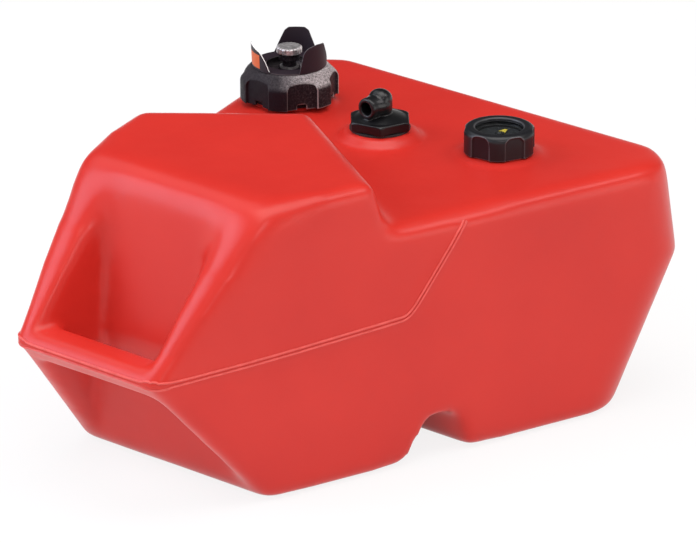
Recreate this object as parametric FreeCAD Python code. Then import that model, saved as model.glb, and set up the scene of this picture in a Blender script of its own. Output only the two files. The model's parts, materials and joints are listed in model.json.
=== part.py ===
import FreeCAD, Part
import math
import os
from FreeCAD import Vector

# Portable outboard fuel tank, millimetres. +X is the stern, +Y the left-hand side seen from
# the stern, +Z up. The origin is on the ground under the middle of the tank.

# ---- driving dimensions: moulded tank ----
tank_length = 525.0          # nose to stern ridge
nose_half_width = 77.0       # half width where the two nose slopes meet
side_spread = 0.275          # how much the half width grows per unit of length
ridge_height = 124.0         # height of the line where upper and lower slopes meet
deck_height = 209.5          # rear deck that carries the fittings
hump_height = 251.5          # raised front half
base_front_setback = 107.5   # from the nose to the flat base
base_rear_setback = 61.5     # from the stern ridge to the flat base
hump_front_setback = 108.5   # from the nose to the hump's top
deck_rear_setback = 13.0     # from the stern ridge to the deck
wall = 4.0                   # moulded wall
stern_corner_radius = 45.0
nose_corner_radius = 12.0
nose_ridge_radius = 7.0
edge_radius = 12.0           # rounding along every other outer edge loop

# step from hump to deck: two drafted walls that meet in a blunt point
step_point_x = 35.0
step_point_y = 25.0
step_corner_x = -62.0        # where the near wall meets the side
step_lean = 0.33             # run per unit of height
step_far_ratio = 1.35        # far wall's rake against the near wall's
step_point_radius = 12.0
step_cove_radius = 16.0

# strap channel across the base
channel_front = -32.0
channel_rear = 31.0
channel_crown_front = -9.0
channel_crown_rear = 20.0
channel_depth = 38.0
channel_round = 15.0

# carrying handle: a bar on the nose with a hand slot behind it
recess_top_drop = 11.5       # from the hump's top to where the upper recess runs out
recess_bottom = 10.0
recess_back_setback = 72.5   # from the nose to the back wall beside the bar
recess_knee_high = 2.0       # the back wall bends between these depths below the ridge
recess_knee_low = 12.0
upper_half_width = 62.0      # at the slope's face
upper_draft = 0.24           # narrowing per unit of depth
lower_half_width = 62.0
lower_draft = 0.45
lower_flare = 0.17           # widening per unit of length down the slope
bar_depth = 34.5
bar_above_ridge = 9.0
bar_below_ridge = 20.0       # underside, at the front
bar_rise = 9.0               # how much higher the underside is at the rear
recess_rim_radius = 8.0

# moulded beads
bead_radius = 3.6
bead_proud = 1.5
bead_wrap = 36.0             # how far the nose's bead runs back along each side
bead_bend_x = -35.0
bead_bend_rise = 6.0         # above the ridge
bead_end_x = 22.0
bead_end_drop = 10.0         # below the deck

# ---- driving dimensions: filler ----
filler_x = 127.0
filler_y = 128.0
filler_seat_base = 42.0
filler_seat_top = 37.0
filler_seat_height = 3.0
neck_radius = 29.5
neck_bore = 25.5
cap_radius = 42.0
cap_lift_off_deck = 6.0      # gap between the deck and the cap's skirt
cap_height = 29.0
cap_side_height = 18.5       # straight part of the skirt
cap_crown_radius = 32.0
cap_shoulder_radius = 6.0    # rounding above the skirt and round the crown
cap_dish_mouth = 27.0
cap_dish_radius = 21.0
cap_dish_depth = 8.0
cap_mouth_edge = 1.0         # slope along the dish's rim
cap_wall = 3.0
grip_count = 6
grip_width = 26.0
grip_height = 24.5
grip_depth = 4.6
grip_corner = 9.0
grip_phase = 238.0           # degrees, middle of the first grip recess
notch_width = 8.0
notch_height = 4.5
cap_gasket_thickness = 2.5
cap_gasket_bore = 22.5
insert_wall = 2.2
insert_roof = 3.0
insert_length = 18.0
thread_depth = 1.3           # room for the thread between a neck and its ring
drive_rib_width = 3.0

# vent in the middle of the cap
bushing_radius = 9.5
bushing_flange = 5.2
bushing_shank = 5.0
bushing_tail = 1.5           # below the insert's roof
vent_washer_radius = 8.0
vent_washer_thickness = 1.5
vent_neck_radius = 6.0
vent_neck_height = 11.6
vent_collar_radius = 9.0     # dark collar under the knob
vent_collar_height = 5.8
vent_boss_radius = 3.5
vent_boss_height = 3.0
knob_radius = 10.9
knob_thickness = 5.4
knob_flutes = 18
knob_flute = 1.0             # side of each V-shaped flute
knob_edge = 0.8
stem_radius = 2.5
stem_length = 14.0
running_gap = 0.05

# card collar pushed over the knob
card_thickness = 0.8
card_ring_width = 12.0
card_foot_radius = 31.5
card_petals = (              # outline of each petal: degrees round the cap, height above the crown
    ((112.0, 0.0), (130.0, 17.0), (135.0, 19.8), (150.0, 19.0), (169.0, 16.6), (174.0, 14.8),
     (182.5, 8.8), (190.0, 0.0)),
    ((-8.0, 0.0), (-1.4, 7.0), (5.6, 13.7), (11.0, 19.7), (18.0, 21.9), (43.0, 21.1), (49.0, 18.5),
     (60.0, 6.5), (66.0, 0.0)),
    ((238.0, 0.0), (244.0, 17.0), (247.5, 20.3), (252.7, 22.4), (260.0, 23.3), (268.0, 23.9), (284.0, 23.0),
     (292.0, 16.0), (305.0, 6.5), (312.0, 0.0)))

# ---- driving dimensions: fuel pickup ----
pickup_x = 114.0
pickup_y = 15.0
pickup_seat_base = 36.0
pickup_seat_top = 29.0
pickup_seat_height = 7.5
pickup_gasket_radius = 25.5
pickup_gasket_thickness = 1.5
hex_radius = 28.0            # across corners
hex_height = 8.5
hex_turn = 42.0              # degrees
hex_chamfer = 1.2
dome_radius = 22.0
dome_height = 4.0
post_radius = 8.6
post_height = 33.0           # above the gasket
port_radius = 9.2
port_reach = 18.0            # from the post's axis to the port's face
port_height = 19.8           # of the port's axis, above the gasket
port_edge = 1.0
port_bore = 5.55             # 1/4 NPT tapping size
port_bore_depth = 12.0
passage_radius = 3.0
spigot_radius = 11.0
spigot_length = 19.0
tube_radius = 4.5
tube_bore = 3.2
tube_socket_depth = 12.0
strainer_radius = 8.5
strainer_wall = 1.5
strainer_height = 26.0
strainer_slots = 8
strainer_slot_width = 2.6
strainer_band = 3.0          # closed bands above and below the slots
strainer_floor_gap = 2.0
strainer_socket_depth = 8.0

# ---- driving dimensions: sight gauge ----
gauge_x = 147.0
gauge_y = -87.0
gauge_seat_base = 37.0
gauge_seat_top = 33.0
gauge_seat_height = 2.5
gauge_neck_radius = 24.5
gauge_neck_bore = 20.0
gauge_neck_height = 11.0     # above the deck
collar_radius = 30.1
collar_gap = 1.0             # under the collar
collar_opening = 20.0
collar_lip = 3.5
collar_edge = 5.0            # rounding of the collar's outer top edge
collar_mouth_edge = 1.5      # rounding of its inner top edge
collar_grips = 6
collar_grip_width = 17.0
collar_grip_height = 19.5
collar_grip_depth = 2.4
collar_grip_corner = 6.0
collar_grip_phase = 246.5
gauge_gasket_thickness = 2.0
head_flange = 5.4
head_radius = 24.0
dial_pocket_radius = 18.6
dial_pocket_depth = 2.1
plug_gap = 0.4               # between the head's plug and the neck
plug_length = 8.0
plug_wall = 2.5
dial_thickness = 0.8
pointer_gap = 0.3
pointer_thickness = 0.8
pointer_hub_radius = 3.0
pointer_length = 11.0
pointer_width = 8.0
pointer_tip = 2.5            # width of the blunt end
pointer_angle = 8.0        # degrees from +X with the tank empty
lens_seal_thickness = 0.8
lens_thickness = 1.8
spindle_radius = 1.5
rod_radius = 1.5
rod_spread = 12.0            # each rod from the spindle
rod_angle = 90.0             # degrees, the line through both rods
rod_cover = 0.8              # head material left above a rod's end
foot_height = 4.0
foot_half_width = 5.0
foot_corner_radius = 4.75
foot_floor_gap = 6.0
float_radius = 17.0
float_height = 24.0
float_edge = 2.0
float_rest_gap = 0.3
float_travel = 150.0
float_turn = 270.0           # degrees of pointer turn over the full travel
float_web = 2.0              # slotted top of the float that turns the ribbon
ribbon_width = 6.0
ribbon_thickness = 0.8
ribbon_end_gap = 0.5
ribbon_step = 30.0           # degrees of twist between two sections
slide_gap = 0.4

# ---- construction allowances ----
margin = 60.0                # how far a large cutting shape reaches past what it cuts
overrun = 1.0                # the same for a small one
touch = 0.2                  # two levels this close are the same level
full_turn = 360.0

# ---- levels worked out from the dimensions above ----
half_length = tank_length / 2
nose = -half_length
stern = half_length
base_front = nose + base_front_setback
hump_front = nose + hump_front_setback
base_rear = stern - base_rear_setback
deck_rear = stern - deck_rear_setback
recess_top = hump_height - recess_top_drop
recess_back = nose + recess_back_setback
bar_rear = nose + bar_depth
bar_top = ridge_height + bar_above_ridge
cap_bottom = deck_height + cap_lift_off_deck
cap_top = cap_bottom + cap_height
dish_floor = cap_top - cap_dish_depth
insert_top = dish_floor - cap_wall
insert_ceiling = insert_top - insert_roof
neck_top = insert_ceiling - cap_gasket_thickness
bushing_top = dish_floor + bushing_flange
vent_neck_bottom = bushing_top + vent_washer_thickness
knob_bottom = vent_neck_bottom + vent_neck_height
vent_collar_bottom = knob_bottom - vent_collar_height
pickup_seat = deck_height + pickup_seat_height
pickup_base = pickup_seat + pickup_gasket_thickness
port_axis = pickup_base + port_height
spigot_bottom = pickup_base - spigot_length
strainer_bottom = wall + strainer_floor_gap
strainer_top = strainer_bottom + strainer_height
gauge_neck_top = deck_height + gauge_neck_height
flange_bottom = gauge_neck_top + gauge_gasket_thickness
flange_top = flange_bottom + head_flange
dial_floor = flange_top - dial_pocket_depth
dial_top = dial_floor + dial_thickness
pointer_bottom = dial_top + pointer_gap
lens_bottom = flange_top + lens_seal_thickness
lens_top = lens_bottom + lens_thickness
collar_top = lens_top + collar_lip
collar_bottom = deck_height + gauge_seat_height + collar_gap
foot_bottom = wall + foot_floor_gap
foot_top = foot_bottom + foot_height
float_bottom = foot_top + float_rest_gap

UP = Vector(0, 0, 1)


# ---- helpers ----
def save(name, shape):
    shape.exportStep("parts/" + name + ".step")
    print(name, "solids", len(shape.Solids), "valid", shape.isValid(), "volume", round(shape.Volume, 1))


def flat(points):
    return Part.Face(Part.makePolygon(points + [points[0]]))


def across(points, reach):
    """A prism of an X-Z outline, running the same distance to either side of the middle."""
    return flat([Vector(x, -reach, z) for x, z in points]).extrude(Vector(0, 2 * reach, 0))


def upright(points, low, high):
    """A prism of an X-Y outline between two heights."""
    return flat([Vector(x, y, low) for x, y in points]).extrude(Vector(0, 0, high - low))


def ring(outer, inner, low, high, x=0.0, y=0.0):
    body = Part.makeCylinder(outer, high - low, Vector(x, y, low))
    if inner > 0:
        body = body.cut(Part.makeCylinder(inner, high - low, Vector(x, y, low)))
    return body


def bore(radius, low, high, x, y):
    """A round cutter that runs a little past both of its levels."""
    return Part.makeCylinder(radius, high - low + 2 * overrun, Vector(x, y, low - overrun))


def turned(points, x, y, start=0.0, sweep=full_turn):
    """A solid of revolution of an (r, z) outline about an upright axis."""
    outline = flat([Vector(r, 0, z) for r, z in points])
    solid = outline.revolve(Vector(0, 0, 0), UP, sweep)
    solid.rotate(Vector(0, 0, 0), UP, start)
    solid.translate(Vector(x, y, 0))
    return solid


def offset_outline(points, distance):
    """Moves every edge of an anticlockwise outline inwards by the distance."""
    lines = []
    for start, end in zip(points, points[1:] + points[:1]):
        length = math.hypot(end[0] - start[0], end[1] - start[1])
        along = ((end[0] - start[0]) / length, (end[1] - start[1]) / length)
        lines.append((start[0] - along[1] * distance, start[1] + along[0] * distance, along))
    moved = []
    for (px, py, p), (qx, qy, q) in zip([lines[-1]] + lines[:-1], lines):
        reach = ((qx - px) * q[1] - (qy - py) * q[0]) / (p[0] * q[1] - p[1] * q[0])
        moved.append((px + p[0] * reach, py + p[1] * reach))
    return moved


def is_level(edge, height):
    return abs(edge.BoundBox.ZMin - height) < touch and abs(edge.BoundBox.ZMax - height) < touch


def width_across(edge):
    return edge.BoundBox.YMax - edge.BoundBox.YMin


# ---- the moulded form, at its outer face or a wall's thickness further in ----
def half_width(x):
    return nose_half_width + side_spread * (x - nose)


def upper_slope_x(z):
    return nose + hump_front_setback * (z - ridge_height) / (hump_height - ridge_height)


def lower_slope_x(z):
    return nose + base_front_setback * (ridge_height - z) / ridge_height


def on_side_face(point, inset):
    distance = half_width(point.x) - inset * math.hypot(1, side_spread) - abs(point.y)
    return abs(distance) < wall / 3


def block_form(inset):
    """Flat-faced form: the side outline cut to the tapering plan, with its slanted corners rounded."""
    stern_lean = deck_rear_setback / (deck_height - ridge_height)
    hump_rear = stern - stern_lean * (hump_height - ridge_height)
    outline = [(base_front, 0), (base_rear, 0), (stern, ridge_height),
               (hump_rear, hump_height), (hump_front, hump_height), (nose, ridge_height)]
    front, rear = nose - margin, stern + margin
    plan = [(front, -half_width(front)), (rear, -half_width(rear)),
            (rear, half_width(rear)), (front, half_width(front))]
    form = across(offset_outline(outline, inset), 2 * half_width(rear))
    form = form.common(upright(offset_outline(plan, inset), -margin, hump_height + margin))

    def corners(shape, at_stern):
        found = []
        for edge in shape.Edges:
            box = edge.BoundBox
            slanted = box.ZMax - box.ZMin > hump_height / 6 and box.XMax - box.XMin > wall / 2
            if slanted and (edge.CenterOfMass.x > 0) == at_stern and on_side_face(edge.CenterOfMass, inset):
                found.append(edge)
        return found

    form = form.makeFillet(stern_corner_radius - inset, corners(form, True))
    return form.makeFillet(nose_corner_radius - inset, corners(form, False))


def step_cutter(inset):
    """What is taken away above the deck, behind the hump's two raked rear walls."""
    near_rake = (step_point_x - step_corner_x) / (step_point_y + half_width(step_corner_x))
    far_rake = near_rake * step_far_ratio
    reach = tank_length
    vee = [(step_point_x - near_rake * reach, step_point_y - reach), (2 * reach, step_point_y - reach),
           (2 * reach, step_point_y + reach), (step_point_x - far_rake * reach, step_point_y + reach),
           (step_point_x, step_point_y)]
    low, high = deck_height - inset, hump_height + margin / 2
    slant = inset * math.hypot(1, step_lean)
    rings = []
    for level in (low, high):
        outline = offset_outline(vee, (hump_height - level) * step_lean - slant)
        corners = [Vector(x, y, level) for x, y in outline]
        rings.append(Part.makePolygon(corners + [corners[0]]))
    cutter = Part.makeLoft(rings, True, True)
    point = [e for e in cutter.Edges if e.BoundBox.ZMax - e.BoundBox.ZMin > touch
             and abs(e.CenterOfMass.x - step_point_x) < reach / 4
             and abs(e.CenterOfMass.y - step_point_y) < reach / 4]
    cutter = cutter.makeFillet(step_point_radius - inset, point)
    floor = [e for e in cutter.Edges if is_level(e, low)
             and e.CenterOfMass.x < step_point_x + reach / 4
             and abs(e.CenterOfMass.y - step_point_y) < 0.9 * reach]
    return cutter.makeFillet(step_cove_radius + inset, floor)


def channel_cutter(inset):
    crown = channel_depth + inset
    front_lean = (channel_crown_front - channel_front) / channel_depth
    rear_lean = (channel_rear - channel_crown_rear) / channel_depth
    outline = [(channel_front - front_lean * margin, -margin), (channel_rear + rear_lean * margin, -margin),
               (channel_crown_rear, channel_depth), (channel_crown_front, channel_depth)]
    cutter = across(offset_outline(outline, -inset), tank_length)
    crown_edges = [e for e in cutter.Edges if is_level(e, crown) and width_across(e) > tank_length]
    return cutter.makeFillet(channel_round + inset, crown_edges)


def rounded_form(inset):
    """The form with its step, its strap channel and every outer edge loop rounded."""
    form = block_form(inset).cut(step_cutter(inset)).cut(channel_cutter(inset)).removeSplitter()
    base, deck, top = inset, deck_height - inset, hump_height - inset
    stern_corner_start = deck_rear - 1.5 * stern_corner_radius
    loops = []
    for edge in form.Edges:
        middle = edge.CenterOfMass
        ahead_of_stern = middle.x < stern_corner_start
        on_side = on_side_face(middle, inset)
        if is_level(edge, base) or is_level(edge, top):
            loops.append(edge)
        elif is_level(edge, deck):
            if on_side or not ahead_of_stern:
                loops.append(edge)
        elif edge.BoundBox.ZMin > deck - touch and on_side and ahead_of_stern and middle.x > hump_front:
            loops.append(edge)
    form = form.makeFillet(edge_radius - inset, loops)
    if not inset:                 # the nose ridge stays crisp on the inside
        nose_ridge = [e for e in form.Edges if is_level(e, ridge_height) and e.CenterOfMass.x < hump_front]
        form = form.makeFillet(nose_ridge_radius, nose_ridge)
    return form.Solids[0]


# ---- carrying handle ----
def recess_sides(start, end, half, flare, draft, inset):
    """The room between a recess's two side walls, on the slope that runs from one point to another."""
    along = (end - start).normalize()
    inward = Vector(abs(along.z), 0, -math.copysign(along.x, along.z))
    grown = half + inset * math.hypot(1, math.hypot(flare, draft))
    depth = (recess_back - nose) + margin
    rings = []
    for reach in (-margin, (end - start).Length + margin):
        corners = []
        for down, side in ((-margin, -1), (depth, -1), (depth, 1), (-margin, 1)):
            y = side * (grown + flare * reach - draft * down)
            corners.append(start + along * reach + inward * down + Vector(0, y, 0))
        rings.append(Part.makePolygon(corners + [corners[0]]))
    return Part.makeLoft(rings, True, True)


def handle_recess(inset):
    """Upper recess, hand slot and lower recess as one cutter; the bar is what it leaves standing."""
    outside = nose - margin
    knee_high, knee_low = ridge_height - recess_knee_high, ridge_height - recess_knee_low
    top_x, bottom_x = upper_slope_x(recess_top), lower_slope_x(recess_bottom)
    upper_lean = (top_x - recess_back) / (recess_top - knee_high)
    lower_lean = (bottom_x - recess_back) / (knee_low - recess_bottom)
    bar_low = ridge_height - bar_below_ridge
    bar_front = lower_slope_x(bar_low)
    under_slope = bar_rise / (bar_rear - bar_front)
    upper = [(recess_back, knee_low), (bar_rear, knee_low), (bar_rear, bar_top), (outside, bar_top),
             (outside, recess_top + margin), (top_x + upper_lean * margin, recess_top + margin),
             (recess_back, knee_high)]
    lower = [(recess_back, knee_high), (bar_rear, knee_high), (bar_rear, bar_low + bar_rise),
             (outside, bar_low - under_slope * (bar_front - outside)),
             (outside, recess_bottom - margin), (bottom_x + lower_lean * margin, recess_bottom - margin),
             (recess_back, knee_low)]
    ridge = Vector(nose, 0, ridge_height)
    upper_sides = recess_sides(ridge, Vector(hump_front, 0, hump_height),
                               upper_half_width, 0, upper_draft, inset)
    lower_sides = recess_sides(Vector(bar_front, 0, bar_low), Vector(base_front, 0, 0),
                               lower_half_width, lower_flare, lower_draft, inset)
    upper_space = across(offset_outline(upper[::-1], -inset), tank_length).common(upper_sides)
    lower_space = across(offset_outline(lower, -inset), tank_length).common(lower_sides)
    return upper_space.fuse(lower_space).removeSplitter()


def cut_handle(form):
    """The form with its handle cut, and with rounded rims where the cut meets the slopes and the bar."""
    form = form.cut(handle_recess(0)).Solids[0]
    rims = []
    for edge in form.Edges:
        box, middle = edge.BoundBox, edge.CenterOfMass
        slope_x = upper_slope_x(middle.z) if middle.z > ridge_height else lower_slope_x(middle.z)
        on_slope = abs(middle.x - slope_x) < touch
        on_bar_rear = abs(box.XMin - bar_rear) < touch and abs(box.XMax - bar_rear) < touch
        within = abs(middle.y) < half_width(middle.x) - nose_corner_radius
        clear_of_ridge = abs(middle.z - ridge_height) > nose_ridge_radius
        in_reach = recess_bottom - touch < middle.z < recess_top + touch
        spans = width_across(edge) > upper_half_width
        climbs = box.ZMax - box.ZMin > bar_above_ridge and not spans
        is_rim = (on_slope and (spans or climbs)) or (on_bar_rear and spans)
        if is_rim and within and clear_of_ridge and in_reach:
            rims.append(edge)
    return form.makeFillet(recess_rim_radius, rims).Solids[0]


# ---- moulded beads ----
def rod_between(start, end, radius):
    rod = Part.makeCylinder(radius, (end - start).Length, start, end - start)
    return rod.fuse(Part.makeSphere(radius, start)).fuse(Part.makeSphere(radius, end))


def side_point(x, z, side):
    sunk = (bead_radius - bead_proud) * math.hypot(1, side_spread)
    return Vector(x, side * (half_width(x) - sunk), z)


def beads():
    """The parting bead round the nose, which climbs each side to the deck's edge."""
    nose_x = nose + bead_radius
    turn = nose_corner_radius
    side_dir = Vector(1, side_spread, 0).normalize()
    corner_y = side_point(nose_x, ridge_height, 1).y
    corner = Vector(nose_x, corner_y, ridge_height)
    half_angle = math.acos(Vector(0, -1, 0).dot(side_dir)) / 2
    trim = turn / math.tan(half_angle)
    on_front = corner - Vector(0, trim, 0)
    on_side = corner + side_dir * trim
    bisector = (Vector(0, -1, 0) + side_dir).normalize()
    centre = corner + bisector * (turn / math.sin(half_angle))
    mid_arc = centre - bisector * turn
    tail_x = nose_x + bead_wrap
    tail = side_point(tail_x, ridge_height, 1)

    def mirrored(point):
        return Vector(point.x, -point.y, point.z)

    path = Part.Wire([
        Part.LineSegment(mirrored(tail), mirrored(on_side)).toShape(),
        Part.Arc(mirrored(on_side), mirrored(mid_arc), mirrored(on_front)).toShape(),
        Part.LineSegment(mirrored(on_front), on_front).toShape(),
        Part.Arc(on_front, mid_arc, on_side).toShape(),
        Part.LineSegment(on_side, tail).toShape()])
    start = mirrored(tail)
    circle = Part.Wire([Part.makeCircle(bead_radius, start, Vector(side_dir.x, -side_dir.y, 0))])
    pieces = [path.makePipeShell([circle], True, False)]
    for side in (-1, 1):
        bend = side_point(bead_bend_x, ridge_height + bead_bend_rise, side)
        pieces.append(rod_between(side_point(tail_x, ridge_height, side), bend, bead_radius))
        top = side_point(bead_end_x, deck_height - bead_end_drop, side)
        pieces.append(rod_between(bend, top, bead_radius))
    return pieces


def tank_body():
    outer = cut_handle(rounded_form(0))
    inside = deck_height - wall
    added, bores = beads(), []
    for x, y, seat_base, seat_top, seat_height, radius, neck_end, bore_radius in (
            (filler_x, filler_y, filler_seat_base, filler_seat_top, filler_seat_height,
             neck_radius, neck_top, neck_bore),
            (gauge_x, gauge_y, gauge_seat_base, gauge_seat_top, gauge_seat_height,
             gauge_neck_radius, gauge_neck_top, gauge_neck_bore),
            (pickup_x, pickup_y, pickup_seat_base, pickup_seat_top, pickup_seat_height,
             pickup_seat_top, pickup_seat, spigot_radius + running_gap)):
        seat = deck_height + seat_height
        added.append(turned([(0, inside), (seat_base, inside), (seat_base, deck_height),
                             (seat_top, seat), (0, seat)], x, y))
        if neck_end > seat:
            added.append(ring(radius, 0, deck_height, neck_end, x, y))
        bores.append(bore(bore_radius, inside - wall, neck_end, x, y))
    cavity = rounded_form(wall).cut(handle_recess(wall))
    body = outer.fuse(added).cut(cavity)
    for hole in bores:
        body = body.cut(hole)
    return body


# ---- filler cap ----
def arch_cutter(width, height, corner, inner, outer, low):
    """An arch-topped block that points along +X between two radii, standing on a level."""
    half = width / 2
    block = Part.makeBox(outer - inner, width, height, Vector(inner, -half, low))
    top = [e for e in block.Edges if is_level(e, low + height) and width_across(e) < touch]
    return block.makeFillet(corner, top)


def around(shape, count, phase, x, y):
    copies = []
    for i in range(count):
        copy = shape.copy()
        copy.rotate(Vector(0, 0, 0), UP, phase + full_turn * i / count)
        copy.translate(Vector(x, y, 0))
        copies.append(copy)
    return copies


def cap_outline():
    return [(0, cap_bottom), (cap_radius, cap_bottom), (cap_radius, cap_bottom + cap_side_height),
            (cap_crown_radius, cap_top), (cap_dish_mouth, cap_top), (cap_dish_radius, dish_floor),
            (0, dish_floor)]


def cap_shell():
    outline = cap_outline()
    inner = [(-cap_wall, cap_bottom - cap_wall), (cap_radius, cap_bottom - cap_wall)] + outline[2:-1]
    inner = offset_outline(inner + [(-cap_wall, dish_floor)], cap_wall)
    grip_floor = cap_radius - grip_depth
    grip = arch_cutter(grip_width, grip_height, grip_corner, grip_floor, cap_radius + overrun, cap_bottom)
    pad = arch_cutter(grip_width + 2 * cap_wall, grip_height + cap_wall, grip_corner + cap_wall,
                      grip_floor - cap_wall, cap_radius + overrun, cap_bottom)
    notch = Part.makeBox(grip_depth + 2 * cap_wall, notch_width, notch_height + overrun,
                         Vector(grip_floor - 2 * cap_wall, -notch_width / 2, cap_bottom - overrun))
    body = turned(outline, filler_x, filler_y)
    body = body.makeChamfer(cap_mouth_edge, [e for e in body.Edges if is_level(e, cap_top)
                                             and width_across(e) < 2 * cap_dish_mouth + touch])
    body = body.makeFillet(cap_shoulder_radius, [
        e for e in body.Edges if is_level(e, cap_bottom + cap_side_height)
        or (is_level(e, cap_top) and width_across(e) > 2 * cap_crown_radius - touch)])
    hollow = turned(inner, filler_x, filler_y)
    for cut in around(pad, grip_count, grip_phase, filler_x, filler_y):
        hollow = hollow.cut(cut)
    body = body.cut(hollow)
    for cut in around(grip, grip_count, grip_phase, filler_x, filler_y):
        body = body.cut(cut)
    for cut in around(notch, grip_count, grip_phase, filler_x, filler_y):
        body = body.cut(cut)
    return body.cut(bore(bushing_shank + running_gap, insert_top, dish_floor, filler_x, filler_y))


def cap_insert():
    inner = neck_radius + thread_depth
    outer = inner + insert_wall
    low = insert_top - insert_length
    body = turned([(0, insert_top), (outer, insert_top), (outer, low), (inner, low),
                   (inner, insert_ceiling), (0, insert_ceiling)], filler_x, filler_y)
    rib_reach = cap_radius - cap_wall - running_gap
    rib = Part.makeBox(rib_reach - outer + overrun, drive_rib_width, insert_length - insert_roof,
                       Vector(outer - overrun, -drive_rib_width / 2, low))
    limit = ring(rib_reach, 0, low, insert_top, filler_x, filler_y)
    ribs = around(rib, grip_count, grip_phase + full_turn / grip_count / 2, filler_x, filler_y)
    body = body.fuse(ribs).common(limit)
    return body.cut(bore(bushing_shank + running_gap, insert_ceiling, insert_top, filler_x, filler_y))


def cap_gasket():
    return ring(neck_radius, cap_gasket_bore, neck_top, insert_ceiling, filler_x, filler_y)


def vent_bushing():
    low = insert_ceiling - bushing_tail
    body = ring(bushing_radius, 0, dish_floor, bushing_top, filler_x, filler_y)
    body = body.fuse(ring(bushing_shank, 0, low, dish_floor, filler_x, filler_y))
    return body.cut(bore(stem_radius + running_gap, low, bushing_top, filler_x, filler_y))


def vent_washer():
    return ring(vent_washer_radius, stem_radius + running_gap, bushing_top, vent_neck_bottom,
                filler_x, filler_y)


def vent_stem():
    low = vent_neck_bottom - stem_length
    boss_top = knob_bottom + vent_boss_height
    return turned([(0, low), (stem_radius, low), (stem_radius, vent_neck_bottom),
                   (vent_neck_radius, vent_neck_bottom), (vent_neck_radius, vent_collar_bottom),
                   (vent_collar_radius, vent_collar_bottom), (vent_collar_radius, knob_bottom),
                   (vent_boss_radius, knob_bottom), (vent_boss_radius, boss_top), (0, boss_top)],
                  filler_x, filler_y)


def vent_knob():
    top = knob_bottom + knob_thickness
    body = ring(knob_radius, 0, knob_bottom, top, filler_x, filler_y)
    body = body.makeChamfer(knob_edge, [e for e in body.Edges if is_level(e, top)])
    flute = Part.makeBox(knob_flute, knob_flute, knob_thickness + 2 * overrun,
                         Vector(0, 0, knob_bottom - overrun))
    flute.rotate(Vector(0, 0, 0), UP, 45)
    flute.translate(Vector(knob_radius - knob_flute * math.sqrt(0.5), 0, 0))
    for cut in around(flute, knob_flutes, 0, filler_x, filler_y):
        body = body.cut(cut)
    socket = ring(vent_boss_radius + running_gap, 0, knob_bottom - overrun, knob_bottom + vent_boss_height,
                  filler_x, filler_y)
    return body.cut(socket)


def vent_tag():
    """A flat ring on the cap's crown with three die-cut petals that stand up from its edge."""
    foot = card_foot_radius
    pieces = [ring(foot, foot - card_ring_width, cap_top, cap_top + card_thickness, filler_x, filler_y)]
    for petal in card_petals:
        middle = (petal[0][0] + petal[-1][0]) / 2
        tip = cap_top + max(height for angle, height in petal)
        corners = [Vector(foot / 2, foot * math.sin(math.radians(angle - middle)), cap_top + height)
                   for angle, height in petal]
        blade = flat(corners).extrude(Vector(foot, 0, 0))
        blade.rotate(Vector(0, 0, 0), UP, middle)
        blade.translate(Vector(filler_x, filler_y, 0))
        pieces.append(blade.common(ring(foot, foot - card_thickness, cap_top, tip, filler_x, filler_y)))
    return pieces[0].fuse(pieces[1:]).removeSplitter()


# ---- fuel pickup ----
def pickup_gasket():
    return ring(pickup_gasket_radius, spigot_radius + running_gap, pickup_seat, pickup_base,
                pickup_x, pickup_y)


def pickup_elbow():
    x, y = pickup_x, pickup_y
    corners = []
    for i in range(6):
        angle = math.radians(hex_turn + 60 * i)
        corners.append((x + hex_radius * math.cos(angle), y + hex_radius * math.sin(angle)))
    hex_top = pickup_base + hex_height
    nut = upright(corners, pickup_base, hex_top)
    chamfer = turned([(0, pickup_base), (hex_radius, pickup_base), (hex_radius, hex_top - hex_chamfer),
                      (hex_radius - 2 * hex_chamfer, hex_top), (0, hex_top)], x, y)
    nut = nut.common(chamfer)
    ball = (dome_radius ** 2 + dome_height ** 2) / (2 * dome_height)
    dome = Part.makeSphere(ball, Vector(x, y, hex_top + dome_height - ball))
    dome = dome.common(ring(dome_radius, 0, hex_top - overrun, hex_top + dome_height, x, y))
    shoulder = pickup_base + post_height - post_radius
    post = ring(post_radius, 0, pickup_base, shoulder, x, y)
    post = post.fuse(Part.makeSphere(post_radius, Vector(x, y, shoulder)))
    port = Part.makeCylinder(port_radius, port_reach, Vector(x, y, port_axis), Vector(-1, 0, 0))
    mouth = [e for e in port.Edges if abs(e.CenterOfMass.x - (x - port_reach)) < touch
             and e.BoundBox.ZMax - e.BoundBox.ZMin > port_radius]
    port = port.makeChamfer(port_edge, mouth)
    spigot = ring(spigot_radius, 0, spigot_bottom, pickup_base, x, y)
    body = nut.fuse([dome, post, port, spigot]).removeSplitter()
    port_face = Vector(x - port_reach, y, port_axis)
    body = body.cut(Part.makeCylinder(port_bore, port_bore_depth, port_face, Vector(1, 0, 0)))
    body = body.cut(Part.makeCylinder(passage_radius, port_reach, port_face, Vector(1, 0, 0)))
    body = body.cut(ring(passage_radius, 0, spigot_bottom - overrun, port_axis, x, y))
    return body.cut(ring(tube_radius + running_gap, 0, spigot_bottom - overrun,
                         spigot_bottom + tube_socket_depth, x, y))


def pickup_tube():
    low = strainer_top - strainer_socket_depth
    return ring(tube_radius, tube_bore, low, spigot_bottom + tube_socket_depth, pickup_x, pickup_y)


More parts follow.
